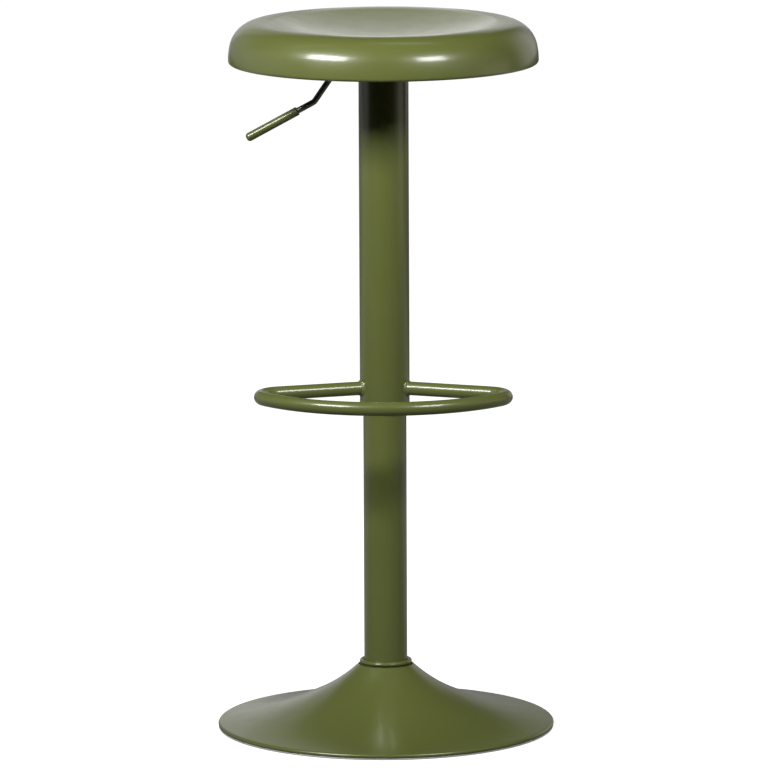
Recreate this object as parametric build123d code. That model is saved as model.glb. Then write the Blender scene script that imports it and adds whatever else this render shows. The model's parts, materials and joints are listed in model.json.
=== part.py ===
# Gas-lift bar stool, all lengths in millimetres, +Z up, floor at Z = 0, footrest toward -Y, lever toward -X
import os
from math import asin, atan, cos, degrees, radians, sin, sqrt, tan

from build123d import *

os.makedirs("parts", exist_ok=True)

# Clearances
PRESS_GAP = 0.05        # radial, pieces pressed or glued together
WELD_GAP = 0.2          # radial, pieces welded together
RUN_GAP = 0.08          # radial, sliding and turning fits
BOLT_GAP = 0.4          # radial, bolt in a plain hole
SEAL_GAP = 0.05         # radial, seal to the wall it wipes

# Base dish
BASE_DIAMETER = 390.0
BASE_SHEET = 1.5
GASKET_FOOT = 2.0       # gasket thickness under the rim
RIM_SKIRT = 1.6         # straight part of the rim
RIM_RADIUS = 3.0
RIM_SLOPE = 7.6         # degrees, dish just inside the rim
FLARE_SLOPE = 25.4      # degrees, where the two flare arcs meet
NECK_SLOPE = 44.4       # degrees, at the neck
NECK_RADIUS = 188.6     # radius of the upper flare arc
NECK_RECESS = 1.5       # hub top below the neck edge
COLLAR_SECTION = 4.8    # thickness of the round collar

# Socket hub, ballast and bolts in the base
HUB_BOTTOM = 8.0
HUB_FLANGE = 5.0
HUB_FLANGE_DIAMETER = 124.0
HUB_FILLET = 4.0
BALLAST_THICKNESS = 9.0
BALLAST_SPACE = 3.0     # ballast to the dish above it
BALLAST_BORE_SPACE = 6.0
HUB_BOLT_SIZE = 8.0
HUB_BOLT_COUNT = 4
HUB_BOLT_EDGE = 14.0    # bolt axis in from the flange edge

# Stand tube and thrust bearing
STAND_DIAMETER = 50.0
STAND_WALL = 1.5
TAPER_ANGLE = 1.4378    # degrees per side, both tapers of the column
TUBE_FOOT = 10.0        # foot of the tube above the floor
FOOT_PLATE = 4.0
RACE_THICKNESS = 2.0
RACE_DIAMETER = 26.0
BALL_DIAMETER = 4.0
BALL_COUNT = 10
GROOVE_DEPTH = 0.6
CAGE_THICKNESS = 2.0

# Gas spring
STROKE = 210.0
ROD_DIAMETER = 10.0
ROD_NECK_DIAMETER = 8.0
ROD_END = 4.5           # end of the rod above the floor
CLIP_THICKNESS = 1.1
BUMP_HEIGHT = 15.0
BUMP_DIAMETER = 22.0
BUMP_SPACE = 4.0        # cylinder to bump stop when right down
CYLINDER_DIAMETER = 28.0
CYLINDER_WALL = 2.4
CYLINDER_LENGTH = 516.0
TAPER_LENGTH = 46.0
GLAND_LENGTH = 20.0
GLAND_INSET = 2.0
PISTON_LENGTH = 14.0
PISTON_SPACE = 10.0     # piston to gland when right up
SEAL_SECTION = 2.4
VALVE_LENGTH = 41.0
VALVE_BORE_DEPTH = 24.0
PIN_DIAMETER = 8.0
PIN_DEPTH = 19.0        # length of release pin inside the valve
BUSH_LENGTH = 95.0
BUSH_FLANGE = 3.0
BUSH_LAND = 18.0        # length of each bearing land in the bush
BUSH_SPACE = 8.0        # bush to seat socket when right down

# Sleeve and footrest
SLEEVE_DIAMETER = 57.6
SLEEVE_WALL = 1.5
SLEEVE_LENGTH = 386.0
GUIDE_LENGTH = 26.0
GUIDE_FLANGE = 2.0
REST_TUBE = 16.0
REST_WALL = 1.4
REST_RISE = 22.8        # footrest axis above the sleeve end
REST_REACH = 152.0      # footrest axis in front of the column
REST_RADIUS = 171.0     # radius of the front bow
REST_BEND = 27.0        # radius of the two side bends
REST_SWEEP = 19.8       # degrees each arm points forward
WELD_LEG = 3.5

# Seat mount
SOCKET_LENGTH = 40.0
SOCKET_WALL = 5.0
SOCKET_COLLAR = 5.0
CYLINDER_PROUD = 1.0    # cylinder top above the channel web
CHANNEL_SHEET = 3.0
CHANNEL_DEPTH = 27.0
CHANNEL_SIDE = 5.0      # channel wall out from the sleeve
CHANNEL_BEND = 5.0
CHANNEL_LENGTH = 96.0
FLANGE_WIDTH = 44.0
FLANGE_CORNER = 10.0
SEAT_BOLT_SIZE = 6.0
SEAT_BOLT_X = 36.0
HEX_SEAT = 10.0         # across flats, seat bolts and nuts
SEAT_HEAD = 4.0
NUT_HEIGHT = 5.0

# Seat
SEAT_DIAMETER = 356.8
SEAT_SHEET = 1.2
SEAT_BOTTOM_EDGE = 48.1  # crest down to the curled edge
SEAT_DISH = 22.9         # dish centre below the crest
SHOULDER_RADIUS = 34.4
SIDE_TURN = 12.2         # degrees turned by the side arc
CREST_RADIUS = 40.0      # inside of the crest
CURL_RADIUS = 3.6
CURL_TURN = 250.0        # degrees turned by the curled edge
DISH_STANDOFF = 8.0      # dish underside above the mount
BRACKET_SHEET = 2.0
BRACKET_BORE = 40.0
BRACKET_LIP = 16.0
BRACKET_RISE = 14.0      # radial width of the sloping wall
BRACKET_BEND = 5.0

# Lever
LEVER_RISE = 10.5        # lever axis above the channel web
LEVER_ARM = 22.0         # pivot to column axis
LEVER_ROD = 7.0
LEVER_KNEE = 49.0        # first bend out from the column axis
STEEP_LENGTH = 54.2
STEEP_ANGLE = 55.5       # degrees below level
HANDLE_ANGLE = 28.5      # degrees below level
HANDLE_NECK = 21.7       # second bend to grip
LEVER_BEND = 10.0
GRIP_DIAMETER = 10.2
GRIP_LENGTH = 67.0
GRIP_ROD_DEPTH = 56.0
PIVOT_DIAMETER = 6.0
BOSS_WALL = 3.5
BOSS_LENGTH = 30.0
PADDLE_THICKNESS = 5.0
PADDLE_WIDTH = 12.0
PADDLE_END = 6.5         # paddle past the column axis
ROCKER_SOCKET_WALL = 2.5
PIN_CLEAR = 0.3          # paddle to release pin at rest
SPACER_WALL = 2.0

# Heights of the base pieces
base_r = BASE_DIAMETER / 2
stand_r = STAND_DIAMETER / 2
collar_r = stand_r + 2 * PRESS_GAP + COLLAR_SECTION / 2
hub_r = collar_r + COLLAR_SECTION / 2 - WELD_GAP
neck_r = hub_r + WELD_GAP
taper = tan(radians(TAPER_ANGLE))


# Sine and cosine of an angle in degrees
def sn(angle):
    return sin(radians(angle))


def cs(angle):
    return cos(radians(angle))


# Flare of the dish, worked up from the rim in two tangent arcs
rim_r = base_r - RIM_RADIUS * (1 - sn(RIM_SLOPE))
rim_z = GASKET_FOOT + RIM_SKIRT + RIM_RADIUS * cs(RIM_SLOPE)
flare_r = neck_r + NECK_RADIUS * (sn(NECK_SLOPE) - sn(FLARE_SLOPE))
FLARE_RADIUS = (rim_r - flare_r) / (sn(FLARE_SLOPE) - sn(RIM_SLOPE))
flare_z = rim_z + FLARE_RADIUS * (cs(RIM_SLOPE) - cs(FLARE_SLOPE))
neck_z = flare_z + NECK_RADIUS * (cs(FLARE_SLOPE) - cs(NECK_SLOPE))
flare_cr = flare_r + FLARE_RADIUS * sn(FLARE_SLOPE)
flare_cz = flare_z + FLARE_RADIUS * cs(FLARE_SLOPE)
hub_top = neck_z - NECK_RECESS
flange_top = HUB_BOTTOM + HUB_FLANGE
ballast_top = flange_top + BALLAST_THICKNESS

# Heights of the column pieces
plate_top = TUBE_FOOT + FOOT_PLATE
ball_r = BALL_DIAMETER / 2
groove_r = ball_r + PRESS_GAP
race_offset = groove_r - GROOVE_DEPTH
ball_z = plate_top + RACE_THICKNESS + race_offset
race_top = ball_z + race_offset + RACE_THICKNESS
race_r = RACE_DIAMETER / 2
rod_r = ROD_DIAMETER / 2
rod_neck_r = ROD_NECK_DIAMETER / 2
ball_pitch = (race_r + rod_neck_r) / 2
bump_top = race_top + BUMP_HEIGHT
cylinder_r = CYLINDER_DIAMETER / 2
bore_r = cylinder_r - CYLINDER_WALL
cylinder_low = bump_top + BUMP_SPACE + STROKE
cylinder_top = cylinder_low + CYLINDER_LENGTH
gland_top = cylinder_low + GLAND_INSET + GLAND_LENGTH
piston_low = gland_top + PISTON_SPACE
piston_top = piston_low + PISTON_LENGTH

# Heights of the pieces that rise with the seat
web_top = cylinder_top - CYLINDER_PROUD
web_low = web_top - CHANNEL_SHEET
mount_top = web_top + CHANNEL_DEPTH
socket_low = web_top - SOCKET_LENGTH
bush_top = socket_low - STROKE - BUSH_SPACE
tube_top = bush_top - BUSH_FLANGE
sleeve_r = SLEEVE_DIAMETER / 2
sleeve_low = web_low - SLEEVE_LENGTH
rest_z = sleeve_low + REST_RISE
rest_r = REST_TUBE / 2
channel_in = sleeve_r + CHANNEL_SIDE
channel_out = channel_in + CHANNEL_SHEET
flange_y = channel_out + FLANGE_WIDTH / 2
lever_z = web_top + LEVER_RISE
pivot_r = PIVOT_DIAMETER / 2
boss_r = pivot_r + BOSS_WALL
lever_r = LEVER_ROD / 2
paddle_low = lever_z - PADDLE_THICKNESS / 2
pin_top = paddle_low - PIN_CLEAR
pin_r = PIN_DIAMETER / 2

# Seat profile points, from the dish centre out to the curled edge
seat_r = SEAT_DIAMETER / 2
dish_z = mount_top + DISH_STANDOFF + SEAT_SHEET
crest_z = dish_z + SEAT_DISH
side_angle = 90 - SIDE_TURN
side_drop = SEAT_BOTTOM_EDGE - CURL_RADIUS - SHOULDER_RADIUS * (1 - cs(side_angle))
side_radius = side_drop / cs(side_angle)
crest_r = seat_r - SHOULDER_RADIUS * sn(side_angle) - side_radius * (1 - sn(side_angle))
dish_angle = 2 * degrees(atan(SEAT_DISH / crest_r))
dish_radius = crest_r / sn(dish_angle) - CREST_RADIUS


# Plain helpers for turned pieces
FROM_END = (Align.CENTER, Align.CENTER, Align.MIN)


def turned(*points):
    return revolve(make_face(Plane.XZ * Polyline(*points, close=True)), Axis.Z)


def ring(inner, outer, low, high):
    return turned((inner, low), (outer, low), (outer, high), (inner, high))


def rod_at(x, y, radius, low, high):
    return Pos(x, y, low) * Cylinder(radius, high - low, align=FROM_END)


def cross_rod(x, z, radius, low, high):
    return Pos(x, low, z) * Rot(-90, 0, 0) * Cylinder(radius, high - low, align=FROM_END)


# Bent sheet of even thickness to the right of a path in the XZ plane, turned about Z
def turned_sheet(path, thickness):
    return revolve(make_face(Plane.XZ * offset(path, thickness, side=Side.RIGHT)), Axis.Z)


def group(solids):
    return Compound(children=list(solids))


# Outer radius of the stand tube at a height: straight above the hub, tapered below its top
def stand_at(z):
    return stand_r - max(0.0, hub_top - z) * taper


# Outer radius of the gas cylinder at a height: straight, tapered over its top end
def cylinder_at(z):
    return cylinder_r - max(0.0, z - cylinder_top + TAPER_LENGTH) * taper


# Base pieces
def base_shell():
    neck_cr = neck_r + NECK_RADIUS * sn(NECK_SLOPE)
    neck_cz = neck_z + NECK_RADIUS * cs(NECK_SLOPE)
    rim_cr = rim_r - RIM_RADIUS * sn(RIM_SLOPE)
    rim_cz = rim_z - RIM_RADIUS * cs(RIM_SLOPE)
    path = Wire([
        CenterArc((neck_cr, neck_cz), NECK_RADIUS, 270 - NECK_SLOPE, NECK_SLOPE - FLARE_SLOPE).edge(),
        CenterArc((flare_cr, flare_cz), FLARE_RADIUS, 270 - FLARE_SLOPE, FLARE_SLOPE - RIM_SLOPE).edge(),
        CenterArc((rim_cr, rim_cz), RIM_RADIUS, 90 - RIM_SLOPE, RIM_SLOPE - 90).edge(),
        Line((base_r, rim_cz), (base_r, GASKET_FOOT)).edge(),
    ])
    return turned_sheet(path, BASE_SHEET) - rod_at(0, 0, neck_r, 0, neck_z + BASE_SHEET)


def rim_gasket():
    outer = base_r - BASE_SHEET / 2
    lip = base_r - BASE_SHEET - PRESS_GAP
    inner = lip - 2 * RIM_RADIUS
    top = GASKET_FOOT + RIM_SKIRT
    return turned((inner, 0), (outer, 0), (outer, GASKET_FOOT), (lip, GASKET_FOOT),
                  (lip, top), (inner, top))


def collar_ring():
    return Pos(0, 0, hub_top + COLLAR_SECTION / 2) * Torus(collar_r, COLLAR_SECTION / 2)


def bolt_spots():
    radius = HUB_FLANGE_DIAMETER / 2 - HUB_BOLT_EDGE
    turns = [45 + 360 / HUB_BOLT_COUNT * i for i in range(HUB_BOLT_COUNT)]
    return [(radius * cs(a), radius * sn(a)) for a in turns]


def socket_hub():
    flange_r = HUB_FLANGE_DIAMETER / 2
    low_bore = stand_at(HUB_BOTTOM) + PRESS_GAP
    body = turned((low_bore, HUB_BOTTOM), (flange_r, HUB_BOTTOM), (flange_r, flange_top),
                  (hub_r + HUB_FILLET, flange_top), (hub_r, flange_top + HUB_FILLET),
                  (hub_r, hub_top), (stand_r + PRESS_GAP, hub_top))
    for x, y in bolt_spots():
        body -= rod_at(x, y, HUB_BOLT_SIZE / 2 + BOLT_GAP, 0, hub_top)
    return body


def ballast_disc():
    under = FLARE_RADIUS + BASE_SHEET
    rise = flare_cz - ballast_top - BALLAST_SPACE
    outer = flare_cr - sqrt(under ** 2 - rise ** 2)
    chamfer = BALLAST_THICKNESS / 3
    bore = hub_r + BALLAST_BORE_SPACE
    body = turned((bore, flange_top), (outer, flange_top), (outer, ballast_top - chamfer),
                  (outer - chamfer, ballast_top), (bore, ballast_top))
    for x, y in bolt_spots():
        body -= rod_at(x, y, HUB_BOLT_SIZE / 2 + PRESS_GAP, 0, ballast_top + 1)
    return body


def hub_bolts():
    head = HUB_BOLT_SIZE / 2
    low = HUB_BOTTOM - head
    bolts = []
    for x, y in bolt_spots():
        flange = 1.75 * head
        bolt = turned((0, low), (head, low), (flange, HUB_BOTTOM - head / 3), (flange, HUB_BOTTOM),
                      (head, HUB_BOTTOM), (head, ballast_top - 1), (0, ballast_top - 1))
        hexagon = extrude(RegularPolygon(HUB_BOLT_SIZE / 3, 6), head / 2)
        bolts.append(Pos(x, y, 0) * (bolt - Pos(0, 0, low) * hexagon))
    return group(bolts)


def stand_tube():
    foot_r = stand_at(TUBE_FOOT)
    bore_r_stand = stand_r - STAND_WALL
    return turned((foot_r - STAND_WALL, TUBE_FOOT), (foot_r, TUBE_FOOT), (stand_r, hub_top),
                  (stand_r, tube_top), (bore_r_stand, tube_top), (bore_r_stand, hub_top))


def foot_plate():
    outer = stand_at(TUBE_FOOT) - STAND_WALL - PRESS_GAP
    return ring(rod_neck_r + RUN_GAP, outer, TUBE_FOOT, plate_top)


# One bearing race, grooved on the side that faces the balls
def race(side):
    face = ball_z + side * race_offset
    back = face + side * RACE_THICKNESS
    body = ring(rod_neck_r + RUN_GAP, race_r, min(face, back), max(face, back))
    return body - Pos(0, 0, ball_z) * Torus(ball_pitch, groove_r)


def ball_spots():
    step = 360 / BALL_COUNT
    return [(ball_pitch * cs(step * i), ball_pitch * sn(step * i)) for i in range(BALL_COUNT)]


def ball_cage():
    half = CAGE_THICKNESS / 2
    inner = rod_neck_r + 4 * RUN_GAP
    body = ring(inner, race_r - 4 * RUN_GAP, ball_z - half, ball_z + half)
    for x, y in ball_spots():
        body -= rod_at(x, y, ball_r + PRESS_GAP, ball_z - half, ball_z + half)
    return body


def bearing_balls():
    return group(Pos(x, y, ball_z) * Sphere(ball_r) for x, y in ball_spots())


def guide_bush():
    outer = stand_r - STAND_WALL - PRESS_GAP
    bore = cylinder_r + RUN_GAP
    relief = (bore + outer) / 2
    low = tube_top - BUSH_LENGTH
    return turned((bore, low), (outer, low), (outer, tube_top), (stand_r, tube_top), (stand_r, bush_top),
                  (bore, bush_top), (bore, bush_top - BUSH_LAND), (relief, bush_top - BUSH_LAND - 2),
                  (relief, low + BUSH_LAND + 2), (bore, low + BUSH_LAND))


# Gas spring pieces that turn with the seat and stay at one height
def clip_top():
    return TUBE_FOOT - 4 * RUN_GAP


def piston_rod():
    groove = rod_neck_r - 1
    low = clip_top() - CLIP_THICKNESS - PRESS_GAP
    tip = rod_neck_r - 1
    return turned((0, ROD_END), (tip, ROD_END), (rod_neck_r, ROD_END + 1), (rod_neck_r, low), (groove, low),
                  (groove, clip_top()), (rod_neck_r, clip_top()), (rod_neck_r, race_top), (rod_r, race_top),
                  (rod_r, piston_low), (rod_r - 1.5, piston_low), (rod_r - 1.5, piston_top + 3),
                  (0, piston_top + 3))


def rod_clip():
    inner = rod_neck_r - 1 + PRESS_GAP
    body = ring(inner, rod_neck_r + 3.5, clip_top() - CLIP_THICKNESS, clip_top())
    return body - Pos(0, 0, clip_top()) * Box(inner * 1.4, 4 * rod_neck_r, 4 * CLIP_THICKNESS,
                                             align=(Align.CENTER, Align.MIN, Align.CENTER))


def bump_stop():
    inner = rod_r + PRESS_GAP
    outer = BUMP_DIAMETER / 2
    waist = outer - 2.5
    middle = race_top + BUMP_HEIGHT / 2
    return turned((inner, race_top), (outer - 1, race_top), (outer, race_top + 2), (outer, middle - 2.5),
                  (waist, middle), (outer, middle + 2.5), (outer, bump_top - 2), (outer - 1, bump_top),
                  (inner, bump_top))


def seal_groove(radius, height):
    return radius, height - SEAL_SECTION / 2, height + SEAL_SECTION / 2


def piston():
    outer = bore_r - 2 * RUN_GAP
    middle = (piston_low + piston_top) / 2
    groove, low, high = seal_groove(outer - SEAL_SECTION, middle)
    inner = rod_r - 1.5 + PRESS_GAP
    return turned((inner, piston_low), (outer, piston_low), (outer, low), (groove, low), (groove, high),
                  (outer, high), (outer, piston_top), (inner, piston_top))


def piston_seal():
    middle = (piston_low + piston_top) / 2
    groove, low, high = seal_groove(bore_r - 2 * RUN_GAP - SEAL_SECTION, middle)
    return ring(groove + PRESS_GAP, bore_r - SEAL_GAP, low + PRESS_GAP, high - PRESS_GAP)


# Gas spring pieces that rise with the seat
def gas_cylinder():
    start = cylinder_top - TAPER_LENGTH
    return turned((bore_r, cylinder_low), (cylinder_r - 1, cylinder_low), (cylinder_r, cylinder_low + 1),
                  (cylinder_r, start), (cylinder_at(cylinder_top), cylinder_top), (bore_r, cylinder_top))


def cylinder_gland():
    inner = rod_r + RUN_GAP
    outer = bore_r - PRESS_GAP
    groove, low, high = seal_groove(inner + SEAL_SECTION, gland_top - GLAND_LENGTH / 2)
    gland_low = cylinder_low + GLAND_INSET
    return turned((inner, gland_low), (outer, gland_low), (outer, gland_top), (inner, gland_top),
                  (inner, high), (groove, high), (groove, low), (inner, low))


def rod_seal():
    groove, low, high = seal_groove(rod_r + RUN_GAP + SEAL_SECTION, gland_top - GLAND_LENGTH / 2)
    return ring(rod_r + SEAL_GAP, groove - PRESS_GAP, low + PRESS_GAP, high - PRESS_GAP)


def valve_body():
    outer = bore_r - PRESS_GAP
    low = cylinder_top - VALVE_LENGTH - 1
    top = cylinder_top - 1
    shelf = cylinder_top - VALVE_BORE_DEPTH
    guide_r = pin_r + RUN_GAP
    return turned((1.2, low), (outer, low), (outer, top), (guide_r, top), (guide_r, shelf), (1.2, shelf))


def release_pin():
    dome = pin_r / 4
    dome_r = (pin_r ** 2 + dome ** 2) / (2 * dome)
    face = pin_top - dome
    cap = Pos(0, 0, pin_top - dome_r) * Sphere(dome_r) & rod_at(0, 0, 2 * pin_r, face, pin_top)
    return rod_at(0, 0, pin_r, cylinder_top - PIN_DEPTH, face) + cap


# Sleeve and footrest
def sleeve_tube():
    return ring(sleeve_r - SLEEVE_WALL, sleeve_r, sleeve_low, web_low)


def sleeve_guide():
    inner = stand_r + RUN_GAP
    outer = sleeve_r - SLEEVE_WALL - PRESS_GAP
    low = sleeve_low - GUIDE_FLANGE
    return turned((inner, low), (sleeve_r, low), (sleeve_r, sleeve_low), (outer, sleeve_low),
                  (outer, low + GUIDE_LENGTH), (inner, low + GUIDE_LENGTH))


# Footrest path: an arm, a side bend tangent to arm and front bow, the bow, then the same again mirrored
def footrest_path():
    bow_y = REST_RADIUS - REST_REACH
    across = REST_BEND * sn(REST_SWEEP)
    along = REST_BEND * cs(REST_SWEEP) + bow_y
    b = sn(REST_SWEEP) * along - cs(REST_SWEEP) * across
    c = across ** 2 + along ** 2 - (REST_RADIUS - REST_BEND) ** 2
    reach = -b + sqrt(b ** 2 - c)
    bend_x = reach * cs(REST_SWEEP) - across
    bend_y = bow_y - along - reach * sn(REST_SWEEP)
    turn = degrees(asin(bend_x / (REST_RADIUS - REST_BEND)))
    arm = reach * cs(REST_SWEEP), -reach * sn(REST_SWEEP)
    start = sleeve_r * cs(REST_SWEEP) / 2, -sleeve_r * sn(REST_SWEEP) / 2
    bend = 180 - REST_SWEEP - turn
    return Wire([
        Line((-start[0], start[1]), (-arm[0], arm[1])).edge(),
        CenterArc((-bend_x, bend_y), REST_BEND, 90 + REST_SWEEP, bend).edge(),
        CenterArc((0, bow_y), REST_RADIUS, 270 - turn, 2 * turn).edge(),
        CenterArc((bend_x, bend_y), REST_BEND, 270 + turn, bend).edge(),
        Line(arm, start).edge(),
    ])


def footrest():
    path = Pos(0, 0, rest_z) * footrest_path()
    end = Plane(path @ 0, z_dir=path % 0)
    tube = sweep(end * (Circle(rest_r) - Circle(rest_r - REST_WALL)), path=path)
    return tube - rod_at(0, 0, sleeve_r + PRESS_GAP, rest_z - REST_TUBE, rest_z + REST_TUBE)


def footrest_welds():
    sleeve = rod_at(0, 0, sleeve_r, rest_z - 2 * REST_TUBE, rest_z + 2 * REST_TUBE)
    height = 3 * WELD_LEG
    beads = []
    for side in (-1, 1):
        arm = Plane((0, 0, rest_z), z_dir=(side * cs(REST_SWEEP), -sn(REST_SWEEP), 0))
        cone = Pos(0, 0, sleeve_r - 2 * WELD_LEG) * Cone(rest_r + height, rest_r, height, align=FROM_END)
        tube = Cylinder(rest_r, 4 * sleeve_r)
        beads.append(arm * (cone - tube) - sleeve)
    return group(beads)


# Seat mount
def seat_spots():
    return [(x, y) for x in (-SEAT_BOLT_X, SEAT_BOLT_X) for y in (-flange_y, flange_y)]


def cone_socket():
    outer = cylinder_r + SOCKET_WALL
    collar = (outer + sleeve_r - SLEEVE_WALL) / 2
    return turned((cylinder_at(socket_low) + PRESS_GAP, socket_low), (outer, socket_low),
                  (outer, web_low - SOCKET_COLLAR), (collar, web_low - SOCKET_COLLAR), (collar, web_low),
                  (outer, web_low), (outer, web_top), (cylinder_at(web_top) + PRESS_GAP, web_top))


def mount_channel():
    edge = channel_out + FLANGE_WIDTH
    path = FilletPolyline((-edge, mount_top), (-channel_in, mount_top), (-channel_in, web_top),
                          (channel_in, web_top), (channel_in, mount_top), (edge, mount_top),
                          radius=CHANNEL_BEND)
    face = make_face(Plane.YZ * offset(path, CHANNEL_SHEET, side=Side.RIGHT))
    body = extrude(face, CHANNEL_LENGTH / 2, both=True)
    corners = [e for e in body.edges().filter_by(Axis.Z) if abs(e.center().Y) > edge - 1]
    body = fillet(corners, FLANGE_CORNER)
    body -= rod_at(0, 0, cylinder_r + SOCKET_WALL + WELD_GAP, web_low - 1, web_top + 1)
    body -= cross_rod(-LEVER_ARM, lever_z, pivot_r + PRESS_GAP, -edge, edge)
    for x, y in seat_spots():
        body -= rod_at(x, y, SEAT_BOLT_SIZE / 2 + BOLT_GAP, web_low, mount_top + 1)
    return body


def seat_bolts():
    r = SEAT_BOLT_SIZE / 2
    face = mount_top - CHANNEL_SHEET
    tip = mount_top + BRACKET_SHEET + NUT_HEIGHT + 1
    bolts = []
    for x, y in seat_spots():
        head = extrude(RegularPolygon(HEX_SEAT / 2, 6, major_radius=False), SEAT_HEAD)
        washer = rod_at(0, 0, 0.65 * HEX_SEAT, face - SEAT_HEAD / 3, face)
        bolt = Pos(0, 0, face - SEAT_HEAD) * head + washer + rod_at(0, 0, r, face, tip)
        bolts.append(Pos(x, y, 0) * bolt)
    return group(bolts)


def weld_nuts():
    low = mount_top + BRACKET_SHEET
    nut = Pos(0, 0, low) * extrude(RegularPolygon(HEX_SEAT / 2, 6, major_radius=False), NUT_HEIGHT)
    nut -= rod_at(0, 0, SEAT_BOLT_SIZE / 2 + PRESS_GAP, low - 1, low + NUT_HEIGHT + 1)
    return group(Pos(x, y, 0) * nut for x, y in seat_spots())


# Seat pressing: dish, crest, shoulder and side as tangent arcs, then the curled edge
def seat_shell():
    curl_z = crest_z - SEAT_BOTTOM_EDGE + CURL_RADIUS
    path = Wire([
        CenterArc((0, dish_z + dish_radius), dish_radius, 270, dish_angle).edge(),
        CenterArc((crest_r, crest_z - CREST_RADIUS), CREST_RADIUS, 90 + dish_angle, -dish_angle).edge(),
        CenterArc((crest_r, crest_z - SHOULDER_RADIUS), SHOULDER_RADIUS, 90, -side_angle).edge(),
        CenterArc((seat_r - side_radius, curl_z), side_radius, SIDE_TURN, -SIDE_TURN).edge(),
        CenterArc((seat_r - CURL_RADIUS, curl_z), CURL_RADIUS, 0, -CURL_TURN).edge(),
    ])
    return turned_sheet(path, SEAT_SHEET)


# Pressed pan welded under the dish, its lip lying along the dish underside
def seat_bracket():
    flat_r = sqrt(SEAT_BOLT_X ** 2 + flange_y ** 2) + HEX_SEAT
    flat_z = mount_top + BRACKET_SHEET
    lip_r = flat_r + BRACKET_RISE + BRACKET_LIP / 2
    under = dish_radius + SEAT_SHEET + PRESS_GAP
    lean = degrees(asin(lip_r / under))
    lip_z = dish_z + dish_radius - under * cs(lean)
    half_r = BRACKET_LIP / 2 * cs(lean)
    half_z = BRACKET_LIP / 2 * sn(lean)
    path = FilletPolyline((BRACKET_BORE / 2, flat_z), (flat_r, flat_z), (lip_r - half_r, lip_z - half_z),
                          (lip_r + half_r, lip_z + half_z), radius=BRACKET_BEND)
    body = turned_sheet(path, BRACKET_SHEET)
    for x, y in seat_spots():
        body -= rod_at(x, y, SEAT_BOLT_SIZE / 2 + BOLT_GAP, mount_top - 1, flat_z + 1)
    return body


# Lever and its pivot
def pivot_pin():
    head = pivot_r + 2
    end = channel_out + 4
    body = cross_rod(-LEVER_ARM, lever_z, pivot_r, -channel_out, end)
    body += cross_rod(-LEVER_ARM, lever_z, head, -channel_out - 2, -channel_out)
    groove = channel_out + 2 * RUN_GAP
    cut = cross_rod(-LEVER_ARM, lever_z, head, groove, groove + CLIP_THICKNESS + PRESS_GAP)
    return body - (cut - cross_rod(-LEVER_ARM, lever_z, pivot_r - 1, groove, end))


def pivot_clip():
    low = channel_out + 2 * RUN_GAP
    inner = pivot_r - 1 + PRESS_GAP
    body = cross_rod(-LEVER_ARM, lever_z, pivot_r + 3, low, low + CLIP_THICKNESS)
    body -= cross_rod(-LEVER_ARM, lever_z, inner, low - 1, low + 2 * CLIP_THICKNESS)
    slot = Box(1.4 * inner, 2 * CLIP_THICKNESS, 4 * pivot_r, align=(Align.CENTER, Align.MIN, Align.MIN))
    return body - Pos(-LEVER_ARM, low - CLIP_THICKNESS / 2, lever_z) * slot


def lever_spacers():
    inner = pivot_r + RUN_GAP
    low = BOSS_LENGTH / 2 + 4 * RUN_GAP
    high = channel_in - PRESS_GAP
    tubes = []
    for start, end in ((-high, -low), (low, high)):
        tube = cross_rod(-LEVER_ARM, lever_z, inner + SPACER_WALL, start, end)
        tubes.append(tube - cross_rod(-LEVER_ARM, lever_z, inner, start, end))
    return group(tubes)


def lever_rocker():
    socket_r = lever_r + ROCKER_SOCKET_WALL
    socket_end = LEVER_KNEE - LEVER_BEND / 2 - 1
    boss = cross_rod(-LEVER_ARM, lever_z, boss_r, -BOSS_LENGTH / 2, BOSS_LENGTH / 2)
    from_pivot = (Align.MIN, Align.CENTER, Align.CENTER)
    paddle = Box(LEVER_ARM + PADDLE_END, PADDLE_WIDTH, PADDLE_THICKNESS, align=from_pivot)
    paddle = fillet(paddle.edges().filter_by(Axis.Z).sort_by(Axis.X)[-2:], PADDLE_WIDTH / 3)
    arm = Rot(0, -90, 0) * Cylinder(socket_r, socket_end - LEVER_ARM, align=FROM_END)
    body = boss + Pos(-LEVER_ARM, 0, lever_z) * paddle + Pos(-LEVER_ARM, 0, lever_z) * arm
    body -= cross_rod(-LEVER_ARM, lever_z, pivot_r + RUN_GAP, -BOSS_LENGTH, BOSS_LENGTH)
    hole = Rot(0, -90, 0) * Cylinder(lever_r + PRESS_GAP, socket_end, align=FROM_END)
    return body - Pos(-LEVER_ARM - boss_r, 0, lever_z) * hole


# Lever points in the XZ plane: first bend, second bend, grip start
knee = (-LEVER_KNEE, lever_z)
elbow = (knee[0] - STEEP_LENGTH * cs(STEEP_ANGLE), knee[1] - STEEP_LENGTH * sn(STEEP_ANGLE))
grip_start = (elbow[0] - HANDLE_NECK * cs(HANDLE_ANGLE), elbow[1] - HANDLE_NECK * sn(HANDLE_ANGLE))


def lever_rod():
    tip_x = grip_start[0] - GRIP_ROD_DEPTH * cs(HANDLE_ANGLE)
    tip_z = grip_start[1] - GRIP_ROD_DEPTH * sn(HANDLE_ANGLE)
    start = (-LEVER_ARM - boss_r - PRESS_GAP, lever_z)
    path = Plane.XZ * FilletPolyline(start, knee, elbow, (tip_x, tip_z), radius=LEVER_BEND)
    end = Plane((start[0], 0, start[1]), z_dir=(-1, 0, 0))
    return sweep(end * Circle(lever_r), path=path)


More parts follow.
